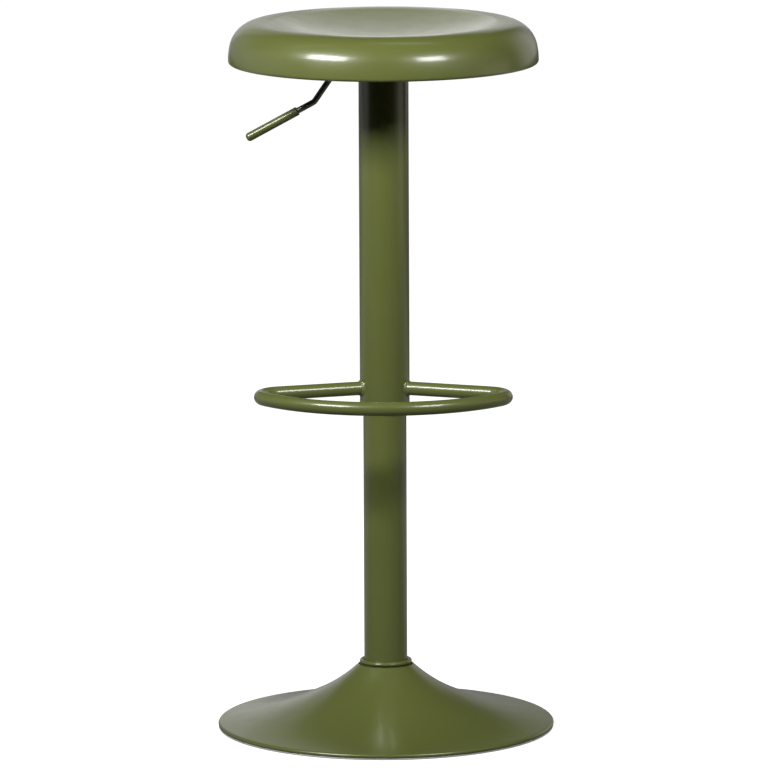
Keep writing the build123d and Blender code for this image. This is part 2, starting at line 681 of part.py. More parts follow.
def lever_grip():
    outer = GRIP_DIAMETER / 2
    round_off = 0.75 * outer
    inner = lever_r + PRESS_GAP
    bore = GRIP_ROD_DEPTH + 1
    outline = Curve() + [
        Polyline((outer - round_off, GRIP_LENGTH), (0, GRIP_LENGTH), (0, bore), (inner, bore), (inner, 0),
                 (outer - 0.8, 0), (outer, 0.8), (outer, GRIP_LENGTH - round_off)),
        CenterArc((outer - round_off, GRIP_LENGTH - round_off), round_off, 0, 90),
    ]
    body = revolve(Plane.XZ * make_face(outline), Axis.Z)
    along = Plane((grip_start[0], 0, grip_start[1]), z_dir=(-cs(HANDLE_ANGLE), 0, -sn(HANDLE_ANGLE)))
    return along * body


PIECES = {
    "base_shell": base_shell(),
    "rim_gasket": rim_gasket(),
    "collar_ring": collar_ring(),
    "socket_hub": socket_hub(),
    "ballast_disc": ballast_disc(),
    "hub_bolts": hub_bolts(),
    "stand_tube": stand_tube(),
    "foot_plate": foot_plate(),
    "lower_race": race(-1),
    "upper_race": race(1),
    "ball_cage": ball_cage(),
    "bearing_balls": bearing_balls(),
    "guide_bush": guide_bush(),
    "piston_rod": piston_rod(),
    "rod_clip": rod_clip(),
    "bump_stop": bump_stop(),
    "piston": piston(),
    "piston_seal": piston_seal(),
    "gas_cylinder": gas_cylinder(),
    "cylinder_gland": cylinder_gland(),
    "rod_seal": rod_seal(),
    "valve_body": valve_body(),
    "release_pin": release_pin(),
    "sleeve_tube": sleeve_tube(),
    "sleeve_guide": sleeve_guide(),
    "footrest": footrest(),
    "footrest_welds": footrest_welds(),
    "cone_socket": cone_socket(),
    "mount_channel": mount_channel(),
    "seat_bolts": seat_bolts(),
    "weld_nuts": weld_nuts(),
    "seat_shell": seat_shell(),
    "seat_bracket": seat_bracket(),
    "pivot_pin": pivot_pin(),
    "pivot_clip": pivot_clip(),
    "lever_spacers": lever_spacers(),
    "lever_rocker": lever_rocker(),
    "lever_rod": lever_rod(),
    "lever_grip": lever_grip(),
}

for name, piece in PIECES.items():
    export_step(piece, f"parts/{name}.step")
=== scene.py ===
import json
from math import atan, cos, degrees, pi, radians, sin, sqrt

import bmesh
import bpy
import numpy as np
from mathutils import Matrix, Vector


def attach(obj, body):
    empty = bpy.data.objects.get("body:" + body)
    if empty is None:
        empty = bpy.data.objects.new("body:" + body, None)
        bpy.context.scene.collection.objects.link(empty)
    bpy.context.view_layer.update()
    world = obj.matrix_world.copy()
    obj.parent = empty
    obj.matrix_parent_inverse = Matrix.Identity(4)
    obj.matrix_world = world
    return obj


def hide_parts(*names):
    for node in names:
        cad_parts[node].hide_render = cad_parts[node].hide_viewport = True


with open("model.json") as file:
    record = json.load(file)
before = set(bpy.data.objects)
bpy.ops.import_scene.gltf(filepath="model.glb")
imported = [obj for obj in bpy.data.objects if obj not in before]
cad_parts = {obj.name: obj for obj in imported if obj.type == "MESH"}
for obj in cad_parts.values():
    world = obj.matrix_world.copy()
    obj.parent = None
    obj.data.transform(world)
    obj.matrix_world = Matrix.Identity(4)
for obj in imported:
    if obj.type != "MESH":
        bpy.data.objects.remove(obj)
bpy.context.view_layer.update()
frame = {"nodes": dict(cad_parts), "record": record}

cadNodes = frame["nodes"]
mm = 0.001
print("frame loaded:", len(cadNodes), "nodes")


# plain shape tools: outlines in millimetres, tube paths and grids in metres

meshDims = {"samePoint": 1e-5, "cornerShare": 0.45, "merge": 2e-6, "collapse": 1e-7, "sharp": 40}


def sinDeg(angle):
    return sin(radians(angle))


def cosDeg(angle):
    return cos(radians(angle))


# circle arc in a plane: centre + radius * (cos a, sin a), a in degrees
def arcRun(centre, radius, start, end, steps):
    a = np.radians(np.linspace(start, end, steps))
    return np.column_stack([centre[0] + radius * np.cos(a), centre[1] + radius * np.sin(a)])


# straight run between two ends: start * (1 - s) + end * s
def lineRun(start, end, steps):
    s = np.linspace(0.0, 1.0, steps)[:, None]
    return np.asarray(start, float) * (1 - s) + np.asarray(end, float) * s


# runs put end to end, points that fall on the one before dropped
def joinRuns(*runs):
    pts = np.concatenate(runs)
    keep = np.ones(len(pts), bool)
    keep[1:] = np.linalg.norm(np.diff(pts, axis=0), axis=1) > meshDims["samePoint"]
    return pts[keep]


# unit direction at each point of a path
def pathDirection(path):
    d = np.gradient(path, axis=0)
    return d / np.linalg.norm(d, axis=1)[:, None]


# parallel on the right of a path: point + gap * (dz, -dr) / |d|
def besidePath(path, gap):
    d = pathDirection(path)
    return path + gap * np.column_stack([d[:, 1], -d[:, 0]])


# closed outline with its corners c eased between a point p before and a point q after:
# (1 - s)^2 p + 2 s (1 - s) c + s^2 q
def softOutline(corners, rounding, steps=5):
    c = np.asarray(corners, float)
    before, after = np.roll(c, 1, 0) - c, np.roll(c, -1, 0) - c
    lb, la = np.linalg.norm(before, axis=1), np.linalg.norm(after, axis=1)
    cut = np.minimum(rounding, meshDims["cornerShare"] * np.minimum(lb, la))
    p = c + before / lb[:, None] * cut[:, None]
    q = c + after / la[:, None] * cut[:, None]
    s = np.linspace(0, 1, steps)[None, :, None]
    curve = (1 - s) ** 2 * p[:, None] + 2 * s * (1 - s) * c[:, None] + s ** 2 * q[:, None]
    return curve.reshape(-1, 2)


# lathe: x = r cos t, y = r sin t, z = z
def latheGrid(profile, turns):
    t = np.linspace(0, 2 * pi, turns, endpoint=False)
    r, z = profile[:, :1] * mm, profile[:, 1:] * mm
    return np.stack([r * np.cos(t), r * np.sin(t), z + 0 * t], axis=-1)


# tube: path point + radius * (cos a * side + sin a * up), side and up square to the path
def tubeGrid(path, up, radius, turns):
    d = pathDirection(path)
    up = np.broadcast_to(np.asarray(up, float), d.shape)
    side = np.cross(d, up)
    a = np.linspace(0, 2 * pi, turns, endpoint=False)[None, :, None]
    return path[:, None] + radius * (np.cos(a) * side[:, None] + np.sin(a) * up[:, None])


# four-sided faces over a grid whose columns join round, and whose rows do where it is looped
def gridFaces(rows, cols, looped):
    i, j = np.meshgrid(np.arange(rows if looped else rows - 1), np.arange(cols), indexing="ij")
    nextI, nextJ = (i + 1) % rows, (j + 1) % cols
    corners = [i * cols + j, i * cols + nextJ, nextI * cols + nextJ, nextI * cols + j]
    return np.stack(corners, axis=-1).reshape(-1, 4)


# grids to a finished piece: doubles merged, open rings capped where asked, faces turned outward
def makePiece(name, grids, finish, body, replaced, looped=True, caps=False,
              sharp=meshDims["sharp"]):
    verts, faces, base = [], [], 0
    for grid in grids:
        rows, cols = grid.shape[:2]
        verts.append(grid.reshape(-1, 3))
        faces.append(gridFaces(rows, cols, looped) + base)
        base += rows * cols
    mesh = bpy.data.meshes.new(name)
    mesh.from_pydata(np.concatenate(verts).tolist(), [], np.concatenate(faces).tolist())
    bm = bmesh.new()
    bm.from_mesh(mesh)
    bmesh.ops.remove_doubles(bm, verts=bm.verts, dist=meshDims["merge"])
    bmesh.ops.dissolve_degenerate(bm, edges=bm.edges, dist=meshDims["collapse"])
    if caps:
        bmesh.ops.holes_fill(bm, edges=[e for e in bm.edges if e.is_boundary], sides=0)
    bmesh.ops.recalc_face_normals(bm, faces=bm.faces)
    bm.to_mesh(mesh)
    bm.free()
    mesh.polygons.foreach_set("use_smooth", np.ones(len(mesh.polygons), bool))
    mesh.set_sharp_from_angle(angle=radians(sharp))
    mesh.materials.append(finishes[finish])
    piece = bpy.data.objects.new(name, mesh)
    bpy.context.scene.collection.objects.link(piece)
    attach(piece, body)
    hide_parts(*replaced)


# finishes

# band of the noise that a drift is spread over, and how fine each kind of noise is
noiseDims = {"band": (0.3, 0.7), "toneDetail": 3.0, "sheenDetail": 4.0, "grainDetail": 2.0}


# node of a kind, with its inputs set
def addNode(tree, kind, **values):
    node = tree.nodes.new(kind)
    for key, value in values.items():
        node.inputs[key.replace("_", " ")].default_value = value
    return node


def addNoise(tree, coords, scale, detail):
    noise = addNode(tree, "ShaderNodeTexNoise", Scale=scale, Detail=detail)
    tree.links.new(coords, noise.inputs["Vector"])
    return noise.outputs["Fac"]


# soft colour drift between two tones of one finish
def colourDrift(tree, shader, coords, look):
    noise = addNoise(tree, coords, look["tone"], noiseDims["toneDetail"])
    ramp = tree.nodes.new("ShaderNodeValToRGB")
    low, high = ramp.color_ramp.elements
    low.position, high.position = noiseDims["band"]
    low.color, high.color = (*look["dark"], 1), (*look["light"], 1)
    tree.links.new(noise, ramp.inputs["Fac"])
    tree.links.new(ramp.outputs["Color"], shader.inputs["Base Color"])


# roughness that wanders between two values
def roughDrift(tree, shader, coords, look):
    noise = addNoise(tree, coords, look["sheen"], noiseDims["sheenDetail"])
    (start, end), (low, high) = noiseDims["band"], look["rough"]
    span = addNode(tree, "ShaderNodeMapRange", From_Min=start, From_Max=end, To_Min=low, To_Max=high)
    tree.links.new(noise, span.inputs["Value"])
    tree.links.new(span.outputs["Result"], shader.inputs["Roughness"])


# fine surface relief from noise, its pattern scaled by stretch along x, y and z
def relief(tree, shader, coords, look):
    place = addNode(tree, "ShaderNodeMapping", Scale=look["stretch"])
    tree.links.new(coords, place.inputs["Vector"])
    noise = addNoise(tree, place.outputs["Vector"], look["grain"], noiseDims["grainDetail"])
    bump = addNode(tree, "ShaderNodeBump", Strength=look["strength"], Distance=look["height"])
    tree.links.new(noise, bump.inputs["Height"])
    tree.links.new(bump.outputs["Normal"], shader.inputs["Normal"])


# looks: colours are linear; tone, sheen and grain are noise scales; strength and height are the
# relief's: orange peel on sprayed lacquer, scuffing on metal, a matt grain on moulded pieces
lacquerLook = {"dark": (0.136, 0.158, 0.037), "light": (0.146, 0.169, 0.041), "rough": (0.34, 0.42),
               "tone": 7.0, "sheen": 55.0, "grain": 760.0, "strength": 0.05, "height": 0.00003,
               "stretch": (1, 1, 1),
               "sockets": {"Coat Weight": 0.9, "Coat Roughness": 0.19, "Coat IOR": 1.5}}
metalLook = {"tone": 60.0, "sheen": 120.0, "grain": 300.0, "strength": 0.15, "height": 0.00005,
             "stretch": (1, 1, 1), "sockets": {"Metallic": 1.0}}
mouldedLook = {"tone": 40.0, "sheen": 200.0, "grain": 900.0, "strength": 0.25, "height": 0.00006,
               "stretch": (1, 1, 1), "sockets": {}}
thinCoat = {**lacquerLook["sockets"], "Coat Weight": 0.2}


# principled material on object coordinates, from a look and what it changes in it
def makeFinish(name, baseLook, **changes):
    look = {**baseLook, **changes}
    mat = bpy.data.materials.new(name)
    mat.use_nodes = True
    tree = mat.node_tree
    shader = tree.nodes["Principled BSDF"]
    coords = tree.nodes.new("ShaderNodeTexCoord").outputs["Object"]
    colourDrift(tree, shader, coords, look)
    roughDrift(tree, shader, coords, look)
    relief(tree, shader, coords, look)
    for socket, value in look["sockets"].items():
        shader.inputs[socket].default_value = value
    return mat


finishes = {
    "lacquer": makeFinish("oliveLacquer", lacquerLook),
    "tubeLacquer": makeFinish("oliveTubeLacquer", lacquerLook, stretch=(1, 1, 0.12)),
    "lever_black": makeFinish("leverBlack", metalLook, dark=(0.29, 0.29, 0.25),
                              light=(0.34, 0.34, 0.29), rough=(0.30, 0.40)),
    "grip_green": makeFinish("gripGreen", lacquerLook, rough=(0.36, 0.46)),
    "gasket": makeFinish("greyStrip", mouldedLook, dark=(0.66, 0.68, 0.68),
                         light=(0.74, 0.76, 0.76), rough=(0.38, 0.5)),
    "zinc_steel": makeFinish("zincPlate", metalLook, dark=(0.52, 0.52, 0.50),
                             light=(0.62, 0.61, 0.58), rough=(0.28, 0.42)),
    "bearing_steel": makeFinish("bearingSteel", metalLook, dark=(0.58, 0.58, 0.58),
                                light=(0.64, 0.64, 0.64), rough=(0.12, 0.22)),
    "rod_chrome": makeFinish("rodChrome", metalLook, dark=(0.72, 0.72, 0.73),
                             light=(0.78, 0.78, 0.79), rough=(0.06, 0.12), stretch=(1, 1, 0.05)),
    "column_black": makeFinish("blackEnamel", lacquerLook, dark=(0.014, 0.014, 0.013),
                               light=(0.021, 0.021, 0.020), sockets=thinCoat),
    "alloy": makeFinish("turnedAlloy", metalLook, dark=(0.62, 0.62, 0.63),
                        light=(0.70, 0.70, 0.71), rough=(0.25, 0.38)),
    "brass": makeFinish("turnedBrass", metalLook, dark=(0.66, 0.48, 0.21),
                        light=(0.74, 0.56, 0.27), rough=(0.22, 0.34)),
    "plastic": makeFinish("blackAcetal", mouldedLook, dark=(0.018, 0.018, 0.018),
                          light=(0.026, 0.026, 0.026), rough=(0.38, 0.5)),
    "plastic_white": makeFinish("naturalAcetal", mouldedLook, dark=(0.70, 0.69, 0.64),
                                light=(0.78, 0.77, 0.72), rough=(0.36, 0.46)),
    "rubber": makeFinish("blackRubber", mouldedLook, dark=(0.016, 0.016, 0.016),
                         light=(0.028, 0.028, 0.027), rough=(0.62, 0.78)),
    "ballast": makeFinish("castBallast", mouldedLook, dark=(0.020, 0.020, 0.020),
                          light=(0.045, 0.043, 0.040), rough=(0.55, 0.75),
                          grain=260.0, height=0.0004, strength=0.6),
}
for entry in frame["record"]["subparts"]:
    cadMesh = cadNodes[entry["node"]].data
    cadMesh.materials.clear()
    cadMesh.materials.append(finishes[entry["material_slot"]])
print("finishes made:", len(finishes))


# base

baseDims = {"radius": 195.0, "sheet": 1.5, "foot": 2.0, "skirt": 1.6, "rimRadius": 3.0,
            "rimTuck": 27.0, "rimSlope": 7.6, "flareSlope": 25.4, "neckSlope": 44.4,
            "neckArc": 188.6, "neckRadius": 29.8, "hubDrop": 1.5,
            "arcSteps": (40, 60, 18), "noseSteps": 14, "turns": 288}


# flare profile: neck arc, flare arc and rim arc tucked under, tangent to one another;
# slope angles fall from neck to rim
def flarePath(d):
    neck, mid, rim = d["neckSlope"], d["flareSlope"], d["rimSlope"]
    rimR = d["radius"] - d["rimRadius"] * (1 - sinDeg(rim))
    rimZ = d["foot"] + d["skirt"] + d["rimRadius"] * cosDeg(rim)
    midR = d["neckRadius"] + d["neckArc"] * (sinDeg(neck) - sinDeg(mid))
    flareArc = (rimR - midR) / (sinDeg(mid) - sinDeg(rim))
    midZ = rimZ + flareArc * (cosDeg(rim) - cosDeg(mid))
    neckZ = midZ + d["neckArc"] * (cosDeg(mid) - cosDeg(neck))
    neckC = (d["neckRadius"] + d["neckArc"] * sinDeg(neck), neckZ + d["neckArc"] * cosDeg(neck))
    flareC = (midR + flareArc * sinDeg(mid), midZ + flareArc * cosDeg(mid))
    rimC = (rimR - d["rimRadius"] * sinDeg(rim), rimZ - d["rimRadius"] * cosDeg(rim))
    neckSteps, flareSteps, rimSteps = d["arcSteps"]
    path = joinRuns(
        arcRun(neckC, d["neckArc"], 270 - neck, 270 - mid, neckSteps),
        arcRun(flareC, flareArc, 270 - mid, 270 - rim, flareSteps),
        arcRun(rimC, d["rimRadius"], 90 - rim, -d["rimTuck"], rimSteps))
    return path, neckZ


flare, neckZ = flarePath(baseDims)
under = besidePath(flare, baseDims["sheet"])
middle = (flare + under) / 2

# the sheet ends at the neck in a round nose, half its thickness in radius
nose = baseDims["sheet"] / 2
inSheet = middle[:, 0] > baseDims["neckRadius"] + nose
flare, under, middle = flare[inSheet], under[inSheet], middle[inSheet]
noseTurn = degrees(np.arctan2(*(flare[0] - middle[0])[::-1]))
noseRun = arcRun(middle[0], nose, noseTurn + 180, noseTurn, baseDims["noseSteps"])[1:-1]
flareLoop = np.concatenate([flare, under[::-1], noseRun])
makePiece("baseDish", [latheGrid(flareLoop, baseDims["turns"])],
          "lacquer", "base", ["base_shell"])

stripDims = {"outer": 194.5, "lip": 193.1, "inner": 187.45, "top": 3.3, "round": 0.4, "turns": 240}
stripLoop = softOutline(
    [(stripDims["inner"], 0), (stripDims["outer"], 0),
     (stripDims["outer"], baseDims["foot"]), (stripDims["lip"], baseDims["foot"]),
     (stripDims["lip"], stripDims["top"]), (stripDims["inner"], stripDims["top"])],
    stripDims["round"])
makePiece("rimStrip", [latheGrid(stripLoop, stripDims["turns"])],
          "gasket", "base", ["rim_gasket"])

# collar: ring of round section, point = (R + r cos a) out, r sin a up
hubTop = neckZ - baseDims["hubDrop"]
collarDims = {"bore": 25.1, "section": 2.6, "lift": 0.15, "steps": 24, "turns": 160}
collarMiddle = (collarDims["bore"] + collarDims["section"],
                hubTop + collarDims["section"] + collarDims["lift"])
collarLast = 360 - 360 / collarDims["steps"]
collarLoop = arcRun(collarMiddle, collarDims["section"], 0, collarLast, collarDims["steps"])
makePiece("neckCollar", [latheGrid(collarLoop, collarDims["turns"])],
          "lacquer", "base", ["collar_ring"])

# stand: a straight tube that tapers in below the hub
standDims = {"radius": 25.0, "wall": 1.5, "foot": 10.0, "top": 503.9, "taper": 1.4378,
             "round": 0.35, "turns": 160}
standIn = standDims["radius"] - standDims["wall"]
footR = standDims["radius"] - (hubTop - standDims["foot"]) * np.tan(radians(standDims["taper"]))
standLoop = softOutline(
    [(footR - standDims["wall"], standDims["foot"]), (footR, standDims["foot"]),
     (standDims["radius"], hubTop), (standDims["radius"], standDims["top"]),
     (standIn, standDims["top"]), (standIn, hubTop)],
    standDims["round"])
makePiece("standTube", [latheGrid(standLoop, standDims["turns"])],
          "tubeLacquer", "base", ["stand_tube"])
print("base pieces made, neck at", round(neckZ, 2))


# sleeve and footrest

sleeveDims = {"radius": 28.8, "wall": 1.5, "low": 375.9, "high": 761.9, "round": 0.4, "turns": 176}
sleeveIn = sleeveDims["radius"] - sleeveDims["wall"]
sleeveLoop = softOutline(
    [(sleeveIn, sleeveDims["low"]), (sleeveDims["radius"], sleeveDims["low"]),
     (sleeveDims["radius"], sleeveDims["high"]), (sleeveIn, sleeveDims["high"])],
    sleeveDims["round"])
makePiece("sleeveTube", [latheGrid(sleeveLoop, sleeveDims["turns"])],
          "tubeLacquer", "seat", ["sleeve_tube"])

restDims = {"tube": 8.0, "height": 398.7, "reach": 152.0, "bow": 171.0, "bend": 27.0,
            "sweep": 19.8, "armEnd": 34.0, "sink": 0.6, "steps": (60, 44, 20), "turns": 48}


# footrest centre line in plan: front bow, side bend tangent to bow and arm, arm, and the mirror image
def restPath(d):
    sn, cs = sinDeg(d["sweep"]), cosDeg(d["sweep"])
    bowY = d["bow"] - d["reach"]
    across, along = d["bend"] * sn, d["bend"] * cs + bowY
    b = sn * along - cs * across
    armLength = -b + sqrt(b * b - across ** 2 - along ** 2 + (d["bow"] - d["bend"]) ** 2)
    bend = np.array([armLength * cs - across, bowY - along - armLength * sn])
    turn = degrees(np.arcsin(bend[0] / (d["bow"] - d["bend"])))
    bowSteps, bendSteps, armSteps = d["steps"]
    half = joinRuns(
        arcRun((0, bowY), d["bow"], 270, 270 + turn, bowSteps),
        arcRun(bend, d["bend"], 270 + turn, 450 - d["sweep"], bendSteps),
        lineRun((armLength * cs, -armLength * sn), (d["armEnd"] * cs, -d["armEnd"] * sn), armSteps))
    plan = np.concatenate([half[::-1] * (-1, 1), half[1:]])
    return np.column_stack([plan, np.full(len(plan), d["height"])]) * mm


# directions of an arm: out from the column, and across the arm in plan
def armAxes(side):
    out = np.array([side * cosDeg(restDims["sweep"]), -sinDeg(restDims["sweep"]), 0])
    return out, np.array([-out[1], out[0], 0])


# point of an arm: s along it from the column axis, lateral across it, lift above its height
def onArm(side, s, lateral, lift):
    out, flat = armAxes(side)
    p = s[..., None] * out + lateral[..., None] * flat
    p[..., 2] = lift + restDims["height"]
    return p * mm


# end ring of the tube carried to just inside the sleeve's face: s = sqrt(r^2 - lateral^2)
def closeOnSleeve(ring, side):
    lateral = ring @ armAxes(side)[1] / mm
    s = np.sqrt((sleeveDims["radius"] - restDims["sink"]) ** 2 - lateral ** 2)
    return onArm(side, s, lateral, ring[:, 2] / mm - restDims["height"])


restTube = tubeGrid(restPath(restDims), (0, 0, 1), restDims["tube"] * mm, restDims["turns"])
leftEnd, rightEnd = closeOnSleeve(restTube[0], -1), closeOnSleeve(restTube[-1], 1)
restTube = np.concatenate([leftEnd[None], restTube, rightEnd[None]])
makePiece("footrestTube", [restTube], "lacquer", "seat", ["footrest"],
          looped=False, caps=True)

weldDims = {"leg": 2.7, "bulge": 0.75, "bulgeShare": 0.72, "ripples": 19, "rippleDepth": 0.42,
            "rippleMean": 0.6, "lean": 0.35, "uneven": 0.25, "unevenWaves": 3, "wander": 0.3,
            "wanderWaves": 5, "phase": 6.3, "armSink": 0.2, "sleeveSink": 0.15, "backAt": 24.0,
            "backShare": 0.06, "seeds": {-1: 5, 1: 11}, "turns": 304, "across": 15, "sharp": 60}


# weld bead: from the arm (v = 0) round to the sleeve (v = 1); the legs wander slowly with the
# angle, and the section bulges by sin(pi v), rippled like a row of overlapping drops that lean back
def weldBead(side, d):
    rng = np.random.default_rng(d["seeds"][side])
    v = np.linspace(0, 1, d["across"])[:, None]
    a = np.linspace(0, 2 * pi, d["turns"], endpoint=False)[None]
    wander = sum(rng.uniform(-1, 1) * np.cos(k * a + rng.uniform(0, d["phase"])) / k
                 for k in range(1, d["wanderWaves"] + 1))
    spacing = d["ripples"] * a / (2 * pi) + d["uneven"] * np.sin(d["unevenWaves"] * a)
    drop = (spacing + d["lean"] * np.sin(pi * v)) % 1.0
    dome = np.sqrt(np.clip(1 - (2 * drop - 1) ** 2, 0, 1))
    ripple = d["rippleDepth"] * (dome - d["rippleMean"])
    leg = d["leg"] + d["wander"] * wander
    swell = d["bulgeShare"] * np.sin(pi * v) * (d["bulge"] + ripple)
    ring = restDims["tube"] - d["armSink"] + leg * (1 - np.cos(v * pi / 2)) + swell
    fromSleeve = leg * (1 - np.sin(v * pi / 2)) + swell
    lateral, lift = ring * np.cos(a), ring * np.sin(a)
    sleeveR = sleeveDims["radius"] - d["sleeveSink"]
    onSleeve = np.sqrt(np.maximum(sleeveR ** 2 - lateral ** 2, 0))
    return onArm(side, onSleeve + fromSleeve, lateral, lift)


# each bead is closed behind by its two edges drawn a little toward a point inside the sleeve
def closedBead(side, d):
    bead = weldBead(side, d)
    back = (d["backAt"] * armAxes(side)[0] + (0, 0, restDims["height"])) * mm
    edges = bead[[-1, 0]]
    return np.concatenate([bead, edges + d["backShare"] * (back - edges)])


makePiece("footrestWelds", [closedBead(-1, weldDims), closedBead(1, weldDims)],
          "lacquer", "seat", ["footrest_welds"], sharp=weldDims["sharp"])
print("sleeve and footrest made")


# seat

seatDims = {"radius": 178.4, "sheet": 1.2, "crest": 824.0, "edge": 48.1, "dish": 22.9,
            "shoulder": 34.4, "sideTurn": 12.2, "crestArc": 40.0, "curl": 3.6, "curlTurn": 250.0,
            "arcSteps": (44, 18, 42, 14, 32), "turns": 320}


# seat profile: dish arc, crest arc, shoulder arc, side arc and curled edge, all tangent
def seatPath(d):
    ang = 90 - d["sideTurn"]
    side = (d["edge"] - d["curl"] - d["shoulder"] * (1 - cosDeg(ang))) / cosDeg(ang)
    crestR = d["radius"] - d["shoulder"] * sinDeg(ang) - side * (1 - sinDeg(ang))
    dishTurn = 2 * degrees(atan(d["dish"] / crestR))
    dishArc = crestR / sinDeg(dishTurn) - d["crestArc"]
    dishZ = d["crest"] - d["dish"]
    curlZ = d["crest"] - d["edge"] + d["curl"]
    arcs = [((0, dishZ + dishArc), dishArc, 270, 270 + dishTurn),
            ((crestR, d["crest"] - d["crestArc"]), d["crestArc"], 90 + dishTurn, 90),
            ((crestR, d["crest"] - d["shoulder"]), d["shoulder"], 90, 90 - ang),
            ((d["radius"] - side, curlZ), side, d["sideTurn"], 0),
            ((d["radius"] - d["curl"], curlZ), d["curl"], 0, -d["curlTurn"])]
    return joinRuns(*(arcRun(*arc, steps) for arc, steps in zip(arcs, d["arcSteps"])))


seatTop = seatPath(seatDims)
seatUnder = besidePath(seatTop, seatDims["sheet"])
seatUnder[0] = (0, seatTop[0, 1] - seatDims["sheet"])
seatLoop = np.concatenate([seatTop, seatUnder[::-1]])
makePiece("seatPressing", [latheGrid(seatLoop, seatDims["turns"])],
          "lacquer", "seat", ["seat_shell"], looped=False)
print("seat made")


# lever

leverDims = {"height": 775.4, "start": -28.55, "knee": 49.0, "steep": 54.2, "steepAngle": 55.5,
             "handleAngle": 28.5, "neck": 21.7, "bend": 10.0, "rod": 3.5, "rodInGrip": 56.0,
             "runSteps": 10, "bendSteps": 20, "endSteps": 14, "turns": 40}


# bent line in the XZ plane: straight runs with each corner replaced by an arc of one radius
def bentLine(points, d):
    pts = np.asarray(points, float)
    runs = [pts[:1]]
    for p, q, r in zip(pts[:-2], pts[1:-1], pts[2:]):
        u, w = (p - q) / np.linalg.norm(p - q), (r - q) / np.linalg.norm(r - q)
        half = np.arccos(np.clip(u @ w, -1, 1)) / 2
        centre = q + (u + w) / np.linalg.norm(u + w) * d["bend"] / np.sin(half)
        first, last = q + u * d["bend"] / np.tan(half), q + w * d["bend"] / np.tan(half)
        a0, a1 = np.arctan2(*(first - centre)[::-1]), np.arctan2(*(last - centre)[::-1])
        a1 = a0 + (a1 - a0 + pi) % (2 * pi) - pi
        runs.append(lineRun(runs[-1][-1], first, d["runSteps"])[1:])
        runs.append(arcRun(centre, d["bend"], degrees(a0), degrees(a1), d["bendSteps"])[1:])
    runs.append(lineRun(runs[-1][-1], pts[-1], d["endSteps"])[1:])
    return joinRuns(*runs)


# corners of the lever in XZ: knee, elbow and start of the grip, the last two a length along
# -(cos, sin) of an angle from the one before; and the handle's direction
def leverPoints(d):
    knee = np.array([-d["knee"], d["height"]])
    steep = -np.array([cosDeg(d["steepAngle"]), sinDeg(d["steepAngle"])])
    handle = -np.array([cosDeg(d["handleAngle"]), sinDeg(d["handleAngle"])])
    elbow = knee + d["steep"] * steep
    return knee, elbow, elbow + d["neck"] * handle, handle


knee, elbow, gripStart, handle = leverPoints(leverDims)
rodStart = (leverDims["start"], leverDims["height"])
rodEnd = gripStart + handle * leverDims["rodInGrip"]
leverLine = np.insert(bentLine([rodStart, knee, elbow, rodEnd], leverDims), 1, 0, axis=1) * mm
makePiece("leverRod", [tubeGrid(leverLine, (0, 1, 0), leverDims["rod"] * mm, leverDims["turns"])],
          "lever_black", "lever", ["lever_rod"], looped=False, caps=True)

gripDims = {"radius": 5.1, "length": 67.0, "edge": 0.75, "domeShare": 0.75, "fit": 0.05,
            "boreSpare": 1.0, "steps": (7, 30, 14), "turns": 56}


# grip outline (distance along, radius): bore end, bore, eased edge, side and domed end
def gripOutline(d, rod, inGrip):
    dome = d["domeShare"] * d["radius"]
    boreR, boreEnd = rod + d["fit"], inGrip + d["boreSpare"]
    edgeSteps, sideSteps, domeSteps = d["steps"]
    return joinRuns(
        [(boreEnd, 0.0), (boreEnd, boreR), (0.0, boreR), (0.0, d["radius"] - d["edge"])],
        arcRun((d["edge"], d["radius"] - d["edge"]), d["edge"], 180, 90, edgeSteps),
        lineRun((d["edge"], d["radius"]), (d["length"] - dome, d["radius"]), sideSteps),
        arcRun((d["length"] - dome, d["radius"] - dome), dome, 90, 0, domeSteps),
        [(d["length"], 0.0)])


# grip: start + distance * axis + radius * (cos t * side + sin t * up)
gripLine = gripOutline(gripDims, leverDims["rod"], leverDims["rodInGrip"])
gripAlong, gripRadius = gripLine[:, 0, None, None], gripLine[:, 1, None, None]
turn = np.linspace(0, 2 * pi, gripDims["turns"], endpoint=False)[None, :, None]
axisDir, sideDir = np.array([handle[0], 0, handle[1]]), np.array([0, 1.0, 0])
around = np.cos(turn) * sideDir + np.sin(turn) * np.cross(axisDir, sideDir)
gripGrid = (np.insert(gripStart, 1, 0) + gripAlong * axisDir + gripRadius * around) * mm
makePiece("leverGrip", [gripGrid], "grip_green", "lever", ["lever_grip"], looped=False)
print("lever made")


# floor, world, lights, camera

# camera: angles in degrees, places in metres, focal length and picture width in pixels
viewDims = {"turn": 1.33, "distance": 8.76423, "height": 1.8767, "side": -0.0008, "pitch": 9.551,
            "roll": 0.24, "focal": 7691.13, "picture": 768.0, "sensor": 36.0, "clip": 60.0}
sceneNow = bpy.context.scene
sceneNow.view_settings.view_transform = "Standard"


# smooth step of a value between two limits, from one level to another
def smoothStep(tree, value, limits, levels):
    step = addNode(tree, "ShaderNodeMapRange", From_Min=limits[0], From_Max=limits[1],
                   To_Min=levels[0], To_Max=levels[1])
    step.interpolation_type = "SMOOTHSTEP"
    tree.links.new(value, step.inputs["Value"])
    return step.outputs["Result"]


def addMath(tree, operation, first, second):
    node = tree.nodes.new("ShaderNodeMath")
    node.operation = operation
    tree.links.new(first, node.inputs[0])
    tree.links.new(second, node.inputs[1])
    return node.outputs["Value"]


def addShaders(tree, first, second):
    node = tree.nodes.new("ShaderNodeAddShader")
    tree.links.new(first, node.inputs[0])
    tree.links.new(second, node.inputs[1])
    return node.outputs["Shader"]


def mixShaders(tree, share, first, second):
    node = tree.nodes.new("ShaderNodeMixShader")
    tree.links.new(share, node.inputs["Fac"])
    tree.links.new(first, node.inputs[1])
    tree.links.new(second, node.inputs[2])
    return node.outputs["Shader"]


